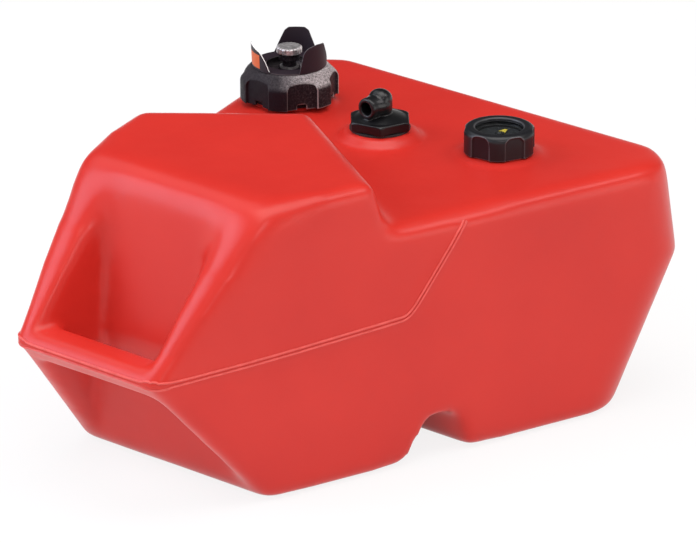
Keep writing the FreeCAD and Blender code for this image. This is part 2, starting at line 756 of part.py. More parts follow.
def pickup_strainer():
    x, y = pickup_x, pickup_y
    inner = strainer_radius - strainer_wall
    body = ring(strainer_radius, 0, strainer_bottom, strainer_top, x, y)
    room_top = strainer_top - strainer_socket_depth
    body = body.cut(ring(inner, 0, strainer_bottom + strainer_wall, room_top, x, y))
    body = body.cut(ring(tube_radius + running_gap, 0, room_top - overrun, strainer_top + overrun, x, y))
    slot_low = strainer_bottom + strainer_band
    slot = Part.makeBox(strainer_radius, strainer_slot_width, room_top - strainer_band - slot_low,
                        Vector(inner - overrun, -strainer_slot_width / 2, slot_low))
    for cut in around(slot, strainer_slots, 0, x, y):
        body = body.cut(cut)
    return body


# ---- sight gauge ----
def gauge_gasket():
    return ring(gauge_neck_radius, gauge_neck_bore, gauge_neck_top, flange_bottom, gauge_x, gauge_y)


def rod_places():
    angle = math.radians(rod_angle)
    step = Vector(math.cos(angle), math.sin(angle), 0) * rod_spread
    centre = Vector(gauge_x, gauge_y, 0)
    return [centre + step, centre - step]


def gauge_head():
    x, y = gauge_x, gauge_y
    plug = gauge_neck_bore - plug_gap
    low = flange_bottom - plug_length
    body = ring(head_radius, 0, flange_bottom, flange_top, x, y)
    body = body.cut(ring(dial_pocket_radius, 0, dial_floor, flange_top + overrun, x, y))
    body = body.fuse(ring(plug, plug - plug_wall, low, flange_bottom, x, y))
    body = body.cut(ring(spindle_radius + running_gap, 0, low, dial_floor + overrun, x, y))
    for place in rod_places():
        body = body.cut(ring(rod_radius + running_gap, 0, low, dial_floor - rod_cover, place.x, place.y))
    return body


def gauge_dial():
    return ring(dial_pocket_radius - running_gap, spindle_radius + slide_gap, dial_floor, dial_top,
                gauge_x, gauge_y)


def gauge_pointer():
    """A hub on the spindle with a tapered hand."""
    corners = [(0, -pointer_width / 2), (pointer_length, -pointer_tip / 2),
               (pointer_length, pointer_tip / 2), (0, pointer_width / 2)]
    hand = upright(corners, pointer_bottom, pointer_bottom + pointer_thickness)
    hand.rotate(Vector(0, 0, 0), UP, pointer_angle)
    hand.translate(Vector(gauge_x, gauge_y, 0))
    top = pointer_bottom + pointer_thickness
    hub = ring(pointer_hub_radius, 0, pointer_bottom, top, gauge_x, gauge_y)
    return hub.fuse(hand).cut(bore(spindle_radius, pointer_bottom, top, gauge_x, gauge_y))


def lens_seal():
    return ring(head_radius, dial_pocket_radius, flange_top, lens_bottom, gauge_x, gauge_y)


def gauge_lens():
    return ring(head_radius, 0, lens_bottom, lens_top, gauge_x, gauge_y)


def gauge_collar():
    x, y = gauge_x, gauge_y
    room = gauge_neck_radius + thread_depth
    body = ring(collar_radius, 0, collar_bottom, collar_top, x, y)
    body = body.makeFillet(collar_edge, [e for e in body.Edges if is_level(e, collar_top)])
    body = body.cut(ring(room, 0, collar_bottom - overrun, lens_top, x, y))
    body = body.cut(ring(collar_opening, 0, lens_top - overrun, collar_top + overrun, x, y))
    body = body.makeFillet(collar_mouth_edge, [e for e in body.Edges if is_level(e, collar_top)
                                               and width_across(e) < 2 * collar_opening + touch])
    grip = arch_cutter(collar_grip_width, collar_grip_height, collar_grip_corner,
                       collar_radius - collar_grip_depth, collar_radius + overrun, collar_bottom)
    for cut in around(grip, collar_grips, collar_grip_phase, x, y):
        body = body.cut(cut)
    return body


def guide_rods():
    high = dial_floor - rod_cover
    return Part.makeCompound([ring(rod_radius, 0, foot_bottom, high, p.x, p.y) for p in rod_places()])


def rod_foot():
    x, y = gauge_x, gauge_y
    reach = rod_spread + foot_half_width
    bar = Part.makeBox(2 * reach, 2 * foot_half_width, foot_height,
                       Vector(-reach, -foot_half_width, foot_bottom))
    ends = [e for e in bar.Edges if e.BoundBox.ZMax - e.BoundBox.ZMin > foot_height / 2]
    bar = bar.makeFillet(foot_corner_radius, ends)
    bar.rotate(Vector(0, 0, 0), UP, rod_angle)
    bar.translate(Vector(x, y, 0))
    for place in rod_places():
        bar = bar.cut(bore(rod_radius + running_gap, foot_bottom, foot_top, place.x, place.y))
    return bar.cut(bore(spindle_radius + running_gap, foot_bottom, foot_top, x, y))


def ribbon_section(height, grow):
    """The ribbon's outline at a level, turned by the twist it has reached there."""
    slot_level = float_bottom + float_height - float_web / 2
    turn = rod_angle + 90 - float_turn / float_travel * (height - slot_level)
    half_w, half_t = ribbon_width / 2 + grow, ribbon_thickness / 2 + grow
    corners = [Vector(px, py, height) for px, py in
               ((-half_w, -half_t), (half_w, -half_t), (half_w, half_t), (-half_w, half_t))]
    wire = Part.makePolygon(corners + [corners[0]])
    wire.rotate(Vector(0, 0, 0), UP, turn)
    wire.translate(Vector(gauge_x, gauge_y, 0))
    return wire


def gauge_ribbon():
    x, y = gauge_x, gauge_y
    low, high = foot_top + ribbon_end_gap, flange_bottom - ribbon_end_gap
    steps = math.ceil((high - low) * float_turn / float_travel / ribbon_step)
    sections = [ribbon_section(low + (high - low) * i / steps, 0) for i in range(steps + 1)]
    body = Part.makeLoft(sections, True, False)
    upper = ring(spindle_radius, 0, high, pointer_bottom + pointer_thickness, x, y)
    lower = ring(spindle_radius, 0, foot_bottom, low, x, y)
    return body.fuse([upper, lower])


def gauge_float():
    x, y = gauge_x, gauge_y
    top = float_bottom + float_height
    body = ring(float_radius, 0, float_bottom, top, x, y)
    rims = [e for e in body.Edges if is_level(e, top) or is_level(e, float_bottom)]
    body = body.makeChamfer(float_edge, rims)
    body = body.cut(ring(ribbon_width / 2 + slide_gap, 0, float_bottom - overrun, top - float_web, x, y))
    slot = Part.Face(ribbon_section(top - float_web / 2, slide_gap))
    slot.translate(Vector(0, 0, -float_web))
    body = body.cut(slot.extrude(Vector(0, 0, 2 * float_web)))
    for place in rod_places():
        body = body.cut(bore(rod_radius + slide_gap, float_bottom, top, place.x, place.y))
    return body


os.makedirs("parts", exist_ok=True)
for piece in (tank_body, cap_shell, cap_insert, cap_gasket, vent_bushing, vent_washer, vent_stem, vent_knob,
              vent_tag, pickup_gasket, pickup_elbow, pickup_tube, pickup_strainer, gauge_gasket, gauge_head,
              gauge_dial, gauge_pointer, lens_seal, gauge_lens, gauge_collar, guide_rods, rod_foot,
              gauge_ribbon, gauge_float):
    save(piece.__name__, piece())
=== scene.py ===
import bpy
import json
import math
from mathutils import Euler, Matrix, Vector

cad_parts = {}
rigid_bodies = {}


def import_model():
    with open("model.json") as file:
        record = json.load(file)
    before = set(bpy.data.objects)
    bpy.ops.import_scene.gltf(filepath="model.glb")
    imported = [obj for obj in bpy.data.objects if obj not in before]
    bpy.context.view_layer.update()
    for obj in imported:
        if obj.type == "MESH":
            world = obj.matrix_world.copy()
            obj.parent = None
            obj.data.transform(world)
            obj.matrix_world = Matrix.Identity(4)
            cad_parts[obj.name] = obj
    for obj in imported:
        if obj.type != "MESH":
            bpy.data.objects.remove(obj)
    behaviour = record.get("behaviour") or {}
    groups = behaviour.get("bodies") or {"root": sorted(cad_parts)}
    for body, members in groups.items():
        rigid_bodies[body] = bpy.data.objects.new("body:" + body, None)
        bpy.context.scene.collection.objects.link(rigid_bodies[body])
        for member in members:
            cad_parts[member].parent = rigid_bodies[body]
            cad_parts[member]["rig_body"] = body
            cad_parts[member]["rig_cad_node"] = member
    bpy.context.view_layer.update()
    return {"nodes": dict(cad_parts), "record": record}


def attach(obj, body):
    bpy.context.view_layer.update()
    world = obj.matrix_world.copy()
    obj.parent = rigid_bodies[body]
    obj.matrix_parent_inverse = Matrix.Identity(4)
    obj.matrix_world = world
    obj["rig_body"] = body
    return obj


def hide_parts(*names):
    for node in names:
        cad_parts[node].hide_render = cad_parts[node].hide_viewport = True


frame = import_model()
bpy.ops.object.select_all(action="DESELECT")
scene = bpy.context.scene
nodes = frame["nodes"]
print("frame loaded,", len(nodes), "nodes")


# small helpers, all sizes in metres
millimetre = 0.001
mergeGap = 1e-6                  # vertices closer than this become one
sides = {"cylinder": 64, "lathe": 96, "threadTurn": 48, "cardRing": 144}  # flats round a full turn


def wake(*things):
    bpy.ops.object.select_all(action="DESELECT")
    for thing in things:
        thing.select_set(True)
    bpy.context.view_layer.objects.active = things[0]


def named(name):
    made = bpy.context.active_object
    made.name = name
    made.data.name = name
    return made


def finishTransform(thing):
    wake(thing)
    bpy.ops.object.transform_apply(location=True, rotation=True, scale=True)


def modify(thing, kind, **settings):
    wake(thing)
    modifier = thing.modifiers.new(kind.lower(), kind)
    for key, value in settings.items():
        setattr(modifier, key, value)
    bpy.ops.object.modifier_apply(modifier=modifier.name)


def smooth(thing, degrees):
    wake(thing)
    bpy.ops.object.shade_smooth_by_angle(angle=math.radians(degrees))


def enterEdit(thing):
    wake(thing)
    bpy.ops.object.mode_set(mode="EDIT")
    bpy.ops.mesh.select_mode(type="VERT")
    bpy.ops.mesh.select_all(action="DESELECT")


def leaveEdit():
    bpy.ops.object.mode_set(mode="OBJECT")


def tidyMesh(thing, outwards=True):
    enterEdit(thing)
    bpy.ops.mesh.select_all(action="SELECT")
    bpy.ops.mesh.remove_doubles(threshold=mergeGap)
    if outwards:
        bpy.ops.mesh.normals_make_consistent(inside=False)
    leaveEdit()


def join(first, *others):
    wake(first, *others)
    bpy.ops.object.join()
    return first


def cutOrAdd(thing, tool, operation):
    modify(thing, "BOOLEAN", object=tool, operation=operation, solver="EXACT")
    bpy.data.objects.remove(tool)


def cylinder(name, radius, low, high, x, y):
    bpy.ops.mesh.primitive_cylinder_add(vertices=sides["cylinder"], radius=radius, depth=high - low,
                                        location=(x, y, (low + high) / 2))
    made = named(name)
    finishTransform(made)
    return made


def profile(name, corners):  # a closed outline of (radius, level) corners, left selected in edit mode
    bpy.ops.mesh.primitive_circle_add(vertices=len(corners))
    made = named(name)
    for vertex, (radius, level) in zip(made.data.vertices, corners):
        vertex.co = (radius, 0, level)
    enterEdit(made)
    bpy.ops.mesh.select_all(action="SELECT")
    return made


def finishRound(made, location):  # closes a turned or screwed shape and puts it on its axis
    tidyMesh(made)
    made.location = location
    finishTransform(made)
    return made


def lathe(name, outline, x, y):  # turns an outline about an upright axis
    made = profile(name, outline)
    bpy.ops.mesh.spin(steps=sides["lathe"], angle=math.tau, center=(0, 0, 0), axis=(0, 0, 1))
    leaveEdit()
    return finishRound(made, (x, y, 0))


def threadRidge(name, thread, x, y):  # a helical ridge, which points inwards if its height is negative
    half = thread["base"] / 2
    crest = thread["radius"] + thread["height"]
    made = profile(name, ((thread["radius"], -half), (thread["radius"], half), (crest, 0)))
    bpy.ops.mesh.edge_face_add()
    leaveEdit()
    steps = int(sides["threadTurn"] * thread["turns"])
    modify(made, "SCREW", axis="Z", angle=math.tau * thread["turns"],
           screw_offset=thread["pitch"] * thread["turns"], steps=steps, render_steps=steps,
           use_merge_vertices=False)
    return finishRound(made, (x, y, thread["low"]))


def copyNode(node, name):  # a merged copy of a CAD piece, to be reshaped
    wake(nodes[node])
    bpy.ops.object.duplicate()
    made = named(name)
    made.parent = None
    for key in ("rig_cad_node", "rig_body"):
        del made[key]
    made.data.materials.clear()
    tidyMesh(made, outwards=False)
    return made


def relax(thing, passes, group=""):  # draws vertices towards their neighbours, by the group's weights
    modify(thing, "SMOOTH", factor=0.5, iterations=passes, vertex_group=group)


def softCopy(node, name, voxel, passes):  # a copy with every edge rounded the way moulding rounds it
    made = copyNode(node, name)
    modify(made, "REMESH", mode="VOXEL", voxel_size=voxel)
    relax(made, passes)
    wake(made)
    bpy.ops.object.shade_smooth()
    print(name, len(made.data.polygons), "faces")
    return made


def place(thing, body, slot, *replaced):
    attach(thing, body)
    if replaced:
        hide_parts(*replaced)


# where each fitting stands on the tank, and the radii and levels of its neck and bore
fittings = {
    "filler": {"x": 0.127, "y": 0.128, "neck": 0.0295, "bore": 0.0255, "seat": 0.2125, "top": 0.228},
    "gauge": {"x": 0.147, "y": -0.087, "neck": 0.0245, "bore": 0.0200, "seat": 0.212, "top": 0.2205},
    "pickup": {"x": 0.114, "y": 0.015, "neck": 0.0, "bore": 0.01105, "seat": 0.217, "top": 0.217},
}

# tank skin: the moulded body, softened the way blown plastic is
tank = {
    "voxel": 0.003,
    "softPasses": 10,
    "nosePasses": 38,
    "farShare": 0.4,                     # less of it on the far pillar
    "farSide": (0.0, 0.04),              # from the middle line to this far across
    "noseSoft": (-0.115, -0.165),        # the nose's extra softening fades in along these,
    "lipLevel": 0.124,
    "lipKeep": (0.008, 0.022),           # and leaves the parting lip as it is
    "humpPasses": 150,
    "humpSoft": (-0.105, -0.145),        # the hump's front edge is rounder still
    "humpSoftLevels": (0.174, 0.240),
    "edgePasses": 32,
    "edgeSoft": (0.046, 0.030),          # inwards from the side: the deck's rims are broad rounds
    "edgeLevels": (0.184, 0.198),
    "edgeStart": (-0.030, 0.000),
    "covePasses": 36,
    "coveLevels": (0.226, 0.216),        # the step's foot runs out softly on the deck
    "coveFloor": (0.200, 0.206),
    "coveEnd": (0.076, 0.056),
    "mouthPasses": 26,
    "mouthSoft": (0.062, 0.048),         # rounded lips of the strap channel
    "mouthLevels": (0.056, 0.040),
    "mouthMiddle": 0.003,
    "softParts": ("nose", "hump", "edge", "cove", "mouth"),
    "wall": 0.004,
    "innerShare": 0.09,                  # faces kept on the inner wall
    "deckLevel": 0.2095,
    "neckGap": 0.0006,                   # what is cut away round a neck before the skin is remeshed
    "cutTop": 0.30,
    "plugWider": 0.002,                  # the bores are plugged for the remesh and cut again after it
    "plugSunk": 0.012,
    "boreSunk": 0.020,
    "borePast": 0.010,
    "smoothDegrees": 45,
}


def keepPartAt(thing, vertex):  # deletes every loose part but the one that holds the vertex
    enterEdit(thing)
    leaveEdit()
    thing.data.vertices[vertex].select = True
    bpy.ops.object.mode_set(mode="EDIT")
    bpy.ops.mesh.select_linked()
    bpy.ops.mesh.select_all(action="INVERT")
    bpy.ops.mesh.delete(type="VERT")
    leaveEdit()


def fade(value, ends):  # 0 at the first end, 1 at the second
    return min(max((value - ends[0]) / (ends[1] - ends[0]), 0.0), 1.0)


def softShares(x, y, z):  # how much extra softening each part of the skin gets
    nose = fade(x, tank["noseSoft"]) * fade(abs(z - tank["lipLevel"]), tank["lipKeep"])
    inwards = ridge["sideStart"] + ridge["spread"] * (x - ridge["noseX"]) - abs(y)
    return {
        "nose": nose * (1.0 - (1.0 - tank["farShare"]) * fade(y, tank["farSide"])),
        "hump": fade(x, tank["humpSoft"]) * fade(z, tank["humpSoftLevels"]),
        "edge": fade(inwards, tank["edgeSoft"]) * fade(z, tank["edgeLevels"]) * fade(x, tank["edgeStart"]),
        "cove": fade(z, tank["coveLevels"]) * fade(z, tank["coveFloor"]) * fade(x, tank["coveEnd"]),
        "mouth": fade(abs(x - tank["mouthMiddle"]), tank["mouthSoft"]) * fade(z, tank["mouthLevels"]),
    }


def makeTankSkin():
    skin = copyNode("tank_body", "tankSkin")
    for fitting in fittings.values():
        x, y, seat = fitting["x"], fitting["y"], fitting["seat"]
        if fitting["neck"]:
            cutter = cylinder("neckCut", fitting["neck"] + tank["neckGap"], seat, tank["cutTop"], x, y)
            cutOrAdd(skin, cutter, "DIFFERENCE")
        plugLow = tank["deckLevel"] - tank["plugSunk"]
        plug = cylinder("borePlug", fitting["bore"] + tank["plugWider"], plugLow, seat, x, y)
        cutOrAdd(skin, plug, "UNION")
    modify(skin, "REMESH", mode="VOXEL", voxel_size=tank["voxel"])
    keepPartAt(skin, max(skin.data.vertices, key=lambda v: v.co.x).index)
    relax(skin, tank["softPasses"])
    for part in tank["softParts"]:
        skin.vertex_groups.new(name=part)
    for vertex in skin.data.vertices:
        for part, share in softShares(*vertex.co).items():
            if share > 0:
                skin.vertex_groups[part].add([vertex.index], share, "REPLACE")
    for part in tank["softParts"]:
        relax(skin, tank[part + "Passes"], part)
    print("tank skin", len(skin.data.polygons), "faces")
    return skin


def hollowOut(skin):  # gives the skin its inner wall, then opens the bores through both
    wake(skin)
    bpy.ops.object.duplicate()
    inner = named("tankInner")
    modify(inner, "DECIMATE", ratio=tank["innerShare"])
    modify(inner, "DISPLACE", strength=-tank["wall"], mid_level=0.0)
    enterEdit(inner)
    bpy.ops.mesh.select_all(action="SELECT")
    bpy.ops.mesh.flip_normals()
    leaveEdit()
    join(skin, inner)
    low = tank["deckLevel"] - tank["boreSunk"]
    for fitting in fittings.values():
        top = fitting["top"] + tank["borePast"]
        hole = cylinder("bore", fitting["bore"], low, top, fitting["x"], fitting["y"])
        cutOrAdd(skin, hole, "DIFFERENCE")
    smooth(skin, tank["smoothDegrees"])


# twin ridges of the parting line, which climb each side to the deck; their side line is the skin's too
ridge = {
    "radius": 0.0010,
    "roundSteps": 3,
    "apart": 0.0034,
    "proud": 0.0001,
    "noseX": -0.2610,
    "noseHalf": 0.062,
    "noseLevel": 0.1235,
    "noseShares": (-1, -0.5, 0, 0.5, 1),
    "sideStart": 0.0744,         # half width of the side at the nose, before its rounding
    "spread": 0.275,             # what it gains per metre of length
    "outside": 0.004,            # the path starts this far outside, and is then wrapped on the skin
    "firstPoint": (-0.2510, 0.1238),
    "curveSteps": 12,
    "curveOrder": 3,
    "smoothDegrees": 60,
    "route": ((-0.167, 0.1250), (-0.060, 0.1300), (-0.043, 0.1310), (-0.033, 0.1315),
              (-0.024, 0.1385), (-0.001, 0.1705), (0.024, 0.2045)),
}


tankSkin = makeTankSkin()
print("tank skin done")


def ridgePath(name, shift):
    side = []
    route = (ridge["firstPoint"],) + ridge["route"]
    for index, (x, z) in enumerate(route):
        before = route[max(index - 1, 0)]
        after = route[min(index + 1, len(route) - 1)]
        run = Vector((after[0] - before[0], 0, after[1] - before[1])).normalized()
        half = ridge["sideStart"] + ridge["outside"] + ridge["spread"] * (x - ridge["noseX"])
        side.append(Vector((x - run.z * shift, half, z + run.x * shift)))
    front = [Vector((ridge["noseX"], ridge["noseHalf"] * share, ridge["noseLevel"] + shift))
             for share in ridge["noseShares"]]
    mirrored = [Vector((point.x, -point.y, point.z)) for point in side]
    points = mirrored[::-1] + front + side
    curve = bpy.data.curves.new(name, "CURVE")
    curve.dimensions = "3D"
    curve.resolution_u = ridge["curveSteps"]
    spline = curve.splines.new("NURBS")
    spline.points.add(len(points) - 1)
    for target, point in zip(spline.points, points):
        target.co = (*point, 1)
    spline.order_u = ridge["curveOrder"]
    spline.use_endpoint_u = True
    made = bpy.data.objects.new(name, curve)
    scene.collection.objects.link(made)
    wake(made)
    bpy.ops.object.convert(target="MESH")
    modify(made, "SHRINKWRAP", target=tankSkin, wrap_method="NEAREST_SURFACEPOINT",
           wrap_mode="ABOVE_SURFACE", offset=ridge["proud"])
    wake(made)
    bpy.ops.object.convert(target="CURVE")
    made.data.bevel_depth = ridge["radius"]
    made.data.bevel_resolution = ridge["roundSteps"]
    made.data.use_fill_caps = True
    bpy.ops.object.convert(target="MESH")
    return named(name)


partingRidges = join(ridgePath("partingRidges", ridge["apart"] / 2),
                     ridgePath("lowerRidge", -ridge["apart"] / 2))
tidyMesh(partingRidges)
smooth(partingRidges, ridge["smoothDegrees"])
place(partingRidges, "root", "red_polyethylene")
hollowOut(tankSkin)
place(tankSkin, "root", "red_polyethylene", "tank_body")
print("ridges and hollow done")

# necks that carry the filler cap and the gauge
neck = {
    "sunk": 0.008,
    "flare": 0.0025,
    "shoulder": 0.0008,          # the flare starts this far below the seat
    "lip": 0.0008,
    "round": 0.0004,
    "roundSteps": 2,
    "roundDegrees": 30,
    "smoothDegrees": 35,
    "filler": {"radius": fittings["filler"]["neck"], "height": 0.0011, "base": 0.0022, "pitch": 0.006,
               "turns": 1.5, "low": 0.2160},
    "gauge": {"radius": fittings["gauge"]["neck"], "height": 0.0011, "base": 0.0018, "pitch": 0.0036,
              "turns": 1.25, "low": 0.2150},
}


def makeNeck(name, fitting, thread):
    outer, inner, seat, top = fitting["neck"], fitting["bore"], fitting["seat"], fitting["top"]
    flare, lip, shoulder = neck["flare"], neck["lip"], seat - neck["shoulder"]
    low = seat - neck["sunk"]
    outline = [(inner, low), (outer + flare, low), (outer + flare, shoulder), (outer, shoulder + flare),
               (outer, top - lip), (outer - lip, top), (inner + lip, top), (inner, top - lip)]
    made = lathe(name, outline, fitting["x"], fitting["y"])
    modify(made, "BEVEL", width=neck["round"], segments=neck["roundSteps"], limit_method="ANGLE",
           angle_limit=math.radians(neck["roundDegrees"]))
    join(made, threadRidge(name + "Thread", thread, fitting["x"], fitting["y"]))
    smooth(made, neck["smoothDegrees"])
    place(made, "root", "red_polyethylene")
    return made


fillerNeck = makeNeck("fillerNeck", fittings["filler"], neck["filler"])
gaugeNeck = makeNeck("gaugeNeck", fittings["gauge"], neck["gauge"])
print("necks done")

# filler cap: shell with arched grips, and the thread inside its insert
cap = {
    "x": fittings["filler"]["x"],
    "y": fittings["filler"]["y"],
    "radius": 0.042,
    "voxel": 0.00065,
    "softPasses": 4,
    "smoothDegrees": 35,
    "thread": {"radius": 0.0308, "height": -0.0011, "base": 0.0022, "pitch": 0.006, "turns": 1.5,
               "low": 0.2190},
}

capShell = softCopy("cap_shell", "capShell", cap["voxel"], cap["softPasses"])
place(capShell, "cap", "black_polypropylene", "cap_shell")
capThread = threadRidge("capThread", cap["thread"], cap["x"], cap["y"])
smooth(capThread, cap["smoothDegrees"])
place(capThread, "cap", "black_polypropylene")
print("cap done")

# vent knob, with its flutes softened
knob = {"voxel": 0.0003, "softPasses": 9}
ventKnob = softCopy("vent_knob", "ventKnob", knob["voxel"], knob["softPasses"])
place(ventKnob, "vent_screw", "bright_metal", "vent_knob")
print("vent knob done")

# die-cut card collar on the cap's crown
card = {
    "radius": 0.0312,
    "ringWidth": 0.0117,
    "thickness": 0.0008,
    "level": 0.2445,             # the cap's crown
    "lift": 0.0001,
    "columns": 60,
    "rows": 14,
    "leastHeight": 0.3,          # millimetres, where a petal starts
    "curl": 0.05,                # outward lean at the tips, per unit of height
    "smoothDegrees": 40,
    "petals": {                  # degrees round the cap, millimetres above the crown
        "left": ((112, 0), (121, 9), (130, 17), (135, 19.8), (150, 19), (169, 16.6), (174, 14.8),
                 (182.5, 8.8), (190, 0)),
        "rear": ((-8, 0), (-1.4, 7), (5.6, 13.7), (11, 19.7), (18, 21.9), (43, 21.1), (49, 18.5),
                 (60, 6.5), (66, 0)),
        "right": ((238, 0), (244, 17), (247.5, 20.3), (252.7, 22.4), (260, 23.3), (268, 23.9), (284, 23),
                  (292, 16), (305, 6.5), (312, 0)),
    },
}


def petalHeight(outline, angle):
    for (startAngle, startHeight), (endAngle, endHeight) in zip(outline, outline[1:]):
        if startAngle <= angle <= endAngle:
            share = (angle - startAngle) / (endAngle - startAngle)
            return startHeight + share * (endHeight - startHeight)
    return 0.0


def makePetal(name, outline):
    bpy.ops.mesh.primitive_grid_add(x_subdivisions=card["columns"], y_subdivisions=card["rows"], size=1)
    made = named(name)
    first, last = outline[0][0], outline[-1][0]
    for vertex in made.data.vertices:
        angle = first + (vertex.co.x + 0.5) * (last - first)
        height = (vertex.co.y + 0.5) * max(petalHeight(outline, angle), card["leastHeight"]) * millimetre
        radius = card["radius"] + card["curl"] * height
        turn = math.radians(angle)
        vertex.co = (radius * math.cos(turn), radius * math.sin(turn), height)
    return made


def makeCard():
    inwards = (card["radius"] - card["ringWidth"]) / card["radius"]
    bpy.ops.mesh.primitive_circle_add(vertices=sides["cardRing"], radius=card["radius"])
    tag = named("cardTag")
    enterEdit(tag)
    bpy.ops.mesh.select_all(action="SELECT")
    bpy.ops.mesh.extrude_edges_move()
    bpy.ops.transform.resize(value=(inwards, inwards, 1))
    leaveEdit()
    join(tag, *[makePetal(name + "Petal", outline) for name, outline in card["petals"].items()])
    tag.location = (cap["x"], cap["y"], card["level"] + card["thickness"] / 2 + card["lift"])
    finishTransform(tag)
    tidyMesh(tag)
    for _ in ("printed face", "cut edge"):  # a material slot for each, filled in later
        tag.data.materials.append(None)
    modify(tag, "SOLIDIFY", thickness=card["thickness"], offset=0, material_offset_rim=1)
    smooth(tag, card["smoothDegrees"])
    place(tag, "cap", "printed_card", "vent_tag")
    return tag


cardTag = makeCard()
print("card done")

# fuel pickup elbow, glossy and well rounded
elbow = {
    "x": fittings["pickup"]["x"],
    "y": fittings["pickup"]["y"],
    "voxel": 0.0006,
    "softPasses": 9,
    "swell": 0.22,                       # the post swells by this share above the dome,
    "swellStart": (0.1022, 0.1090),      # from the port inwards
    "swellLevels": (0.2290, 0.2330),
    "swellReach": (0.0170, 0.0130),
    "postPasses": 22,                    # and is softened once more
}


def swellPost(piece):
    post = piece.vertex_groups.new(name="post")
    for vertex in piece.data.vertices:
        across = Vector((vertex.co.x - elbow["x"], vertex.co.y - elbow["y"], 0))
        raised = fade(vertex.co.z, elbow["swellLevels"])
        swell = elbow["swell"] * fade(vertex.co.x, elbow["swellStart"]) * raised
        swell *= fade(across.length, elbow["swellReach"])
        vertex.co.y += across.y * swell
        vertex.co.x += max(across.x, 0.0) * swell
        post.add([vertex.index], raised, "REPLACE")
    relax(piece, elbow["postPasses"], "post")


pickupElbow = softCopy("pickup_elbow", "pickupElbow", elbow["voxel"], elbow["softPasses"])
swellPost(pickupElbow)
place(pickupElbow, "root", "black_polypropylene", "pickup_elbow")
print("elbow done")

# gauge collar and the marks on its dial
gauge = {
    "x": fittings["gauge"]["x"],
    "y": fittings["gauge"]["y"],
    "voxel": 0.0006,
    "softPasses": 3,
    "dialTop": 0.2266,
    "pointerLevel": 0.2273,
    "markInner": 0.0125,
    "markOuter": 0.0165,
    "markShorter": 0.0018,
    "markWidth": 0.0007,
    "markRise": 0.00012,
    "markStart": 8.0,            # degrees, where the pointer rests
    "markSweep": 270.0,
    "markCount": 9,
}
gaugeCollar = softCopy("gauge_collar", "gaugeCollar", gauge["voxel"], gauge["softPasses"])
place(gaugeCollar, "root", "black_polypropylene", "gauge_collar")


def makeMarks():  # printed strokes, every second one shorter
    marks = []
    for index in range(gauge["markCount"]):
        angle = math.radians(gauge["markStart"] + gauge["markSweep"] * index / (gauge["markCount"] - 1))
        inner = gauge["markInner"] + gauge["markShorter"] * (index % 2)
        middle = (inner + gauge["markOuter"]) / 2
        bpy.ops.mesh.primitive_cube_add(size=1, location=(gauge["x"] + middle * math.cos(angle),
                                                          gauge["y"] + middle * math.sin(angle),
                                                          gauge["dialTop"] + gauge["markRise"] / 2))
        mark = named("mark")
        mark.scale = (gauge["markOuter"] - inner, gauge["markWidth"], gauge["markRise"])
        mark.rotation_euler = (0, 0, angle)
        finishTransform(mark)
        marks.append(mark)
    made = join(*marks)
    made.name = "dialMarks"
    made.data.name = "dialMarks"
    place(made, "root", "dial_plate")
    return made


dialMarks = makeMarks()
print("gauge done")


# materials: a noise is given as its scale and, where they are set, its detail and roughness
black = (0, 0, 0)
white = (1, 1, 1)
plasticIndex = 1.5
shadeEdges = (0.35, 0.65)        # the noise goes from a material's shade to its colour between these
noiseMiddle = (0.3, 0.7)         # and from its lowest roughness to its highest between these


def newMaterial(name, settings):
    material = bpy.data.materials.new(name)
    material.use_nodes = True
    shader = material.node_tree.nodes["Principled BSDF"]
    for key, value in settings.items():
        shader.inputs[key].default_value = (*value, 1) if isinstance(value, tuple) else value
    return material, material.node_tree, shader


def newPlastic(name, specular):
    return newMaterial(name, {"IOR": plasticIndex, "Specular IOR Level": specular})


def addNode(tree, kind, **inputs):
    node = tree.nodes.new(kind)
    for key, value in inputs.items():
        node.inputs[key].default_value = value
    return node


def feed(tree, source, socket):  # the source is a plain value or another node's output
    if isinstance(source, bpy.types.NodeSocket):
        tree.links.new(source, socket)
    else:
        socket.default_value = source


def calculate(tree, operation, first, second):
    node = tree.nodes.new("ShaderNodeMath")
    node.operation = operation
    feed(tree, first, node.inputs[0])
    feed(tree, second, node.inputs[1])
    return node.outputs[0]


def measure(tree, operation, source, vector):  # a dot product with a vector, or the distance to it
    node = tree.nodes.new("ShaderNodeVectorMath")
    node.operation = operation
    tree.links.new(source, node.inputs[0])
    node.inputs[1].default_value = vector
    return node.outputs["Value"]


def mapRange(tree, source, before, after, kind="LINEAR"):
    node = tree.nodes.new("ShaderNodeMapRange")
    node.interpolation_type = kind
    node.inputs["From Min"].default_value, node.inputs["From Max"].default_value = before
    node.inputs["To Min"].default_value, node.inputs["To Max"].default_value = after
    tree.links.new(source, node.inputs["Value"])
    return node.outputs["Result"]


def splitAxes(tree, source):
    node = tree.nodes.new("ShaderNodeSeparateXYZ")
    tree.links.new(source, node.inputs["Vector"])
    return node.outputs


def mixColours(tree, share, first, second):
    node = tree.nodes.new("ShaderNodeMix")
    node.data_type = "RGBA"
    tree.links.new(share, node.inputs["Factor"])
    feed(tree, first, node.inputs["A"])
    feed(tree, second, node.inputs["B"])
    return node.outputs["Result"]


def mixSurfaces(tree, share, first, second):
    node = tree.nodes.new("ShaderNodeMixShader")
    tree.links.new(share, node.inputs["Fac"])
    tree.links.new(first.outputs[0], node.inputs[1])
    tree.links.new(second.outputs[0], node.inputs[2])
    tree.links.new(node.outputs["Shader"], tree.nodes["Material Output"].inputs["Surface"])


def objectPlace(tree):  # from the tree's one coordinate node
    node = next((n for n in tree.nodes if n.bl_idname == "ShaderNodeTexCoord"), None)
    node = node or tree.nodes.new("ShaderNodeTexCoord")
    return node.outputs["Object"]


